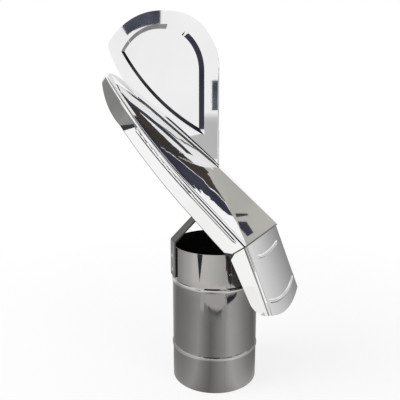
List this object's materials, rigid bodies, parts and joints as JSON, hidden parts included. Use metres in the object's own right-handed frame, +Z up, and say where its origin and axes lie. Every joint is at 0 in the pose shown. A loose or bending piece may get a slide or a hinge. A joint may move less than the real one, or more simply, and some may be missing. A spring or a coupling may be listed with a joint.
{
  "type": "rotating chimney cowl",
  "caption": "Wind-turned stainless chimney cowl: a sloped leaf-shaped roof with rear apron and weather vane swivels on a strap arch over a beaded flue pipe.",
  "frame": {"origin": "centre of the flue pipe's lower end", "axes": "+Z up the pipe's axis, which is the pivot axis; +X towards the rear apron, roof tip towards -X"},
  "size_m": [0.3578, 0.1532, 0.6402],
  "materials": {
    "hood_steel": "polished",
    "vane_steel": "polished",
    "pipe_steel": "polished",
    "strap_steel": "satin",
    "fastener_steel": "satin",
    "bush_bronze": "satin"
  },
  "bodies": {
    "base": {"flue_pipe": "pipe_steel", "bridge_strap": "strap_steel", "strap_rivets": "fastener_steel", "pivot_spindle": "fastener_steel", "spindle_nut_low": "fastener_steel", "spindle_nut_high": "fastener_steel", "spindle_washers": "fastener_steel", "thrust_washer": "bush_bronze", "retaining_washer": "fastener_steel", "retaining_nut": "fastener_steel"},
    "hood": {"roof_shell": "hood_steel", "back_apron": "hood_steel", "vane_fin": "vane_steel", "joint_rivets": "fastener_steel", "hood_bracket": "strap_steel", "bearing_tube": "strap_steel", "bush_low": "bush_bronze", "bush_high": "bush_bronze"}
  },
  "joints": [
    {"name": "hood_spin", "type": "hinge", "parent": "base", "child": "hood", "pos_m": [0, 0, 0.34], "axis": [0, 0, 1], "continuous": true}
  ]
}
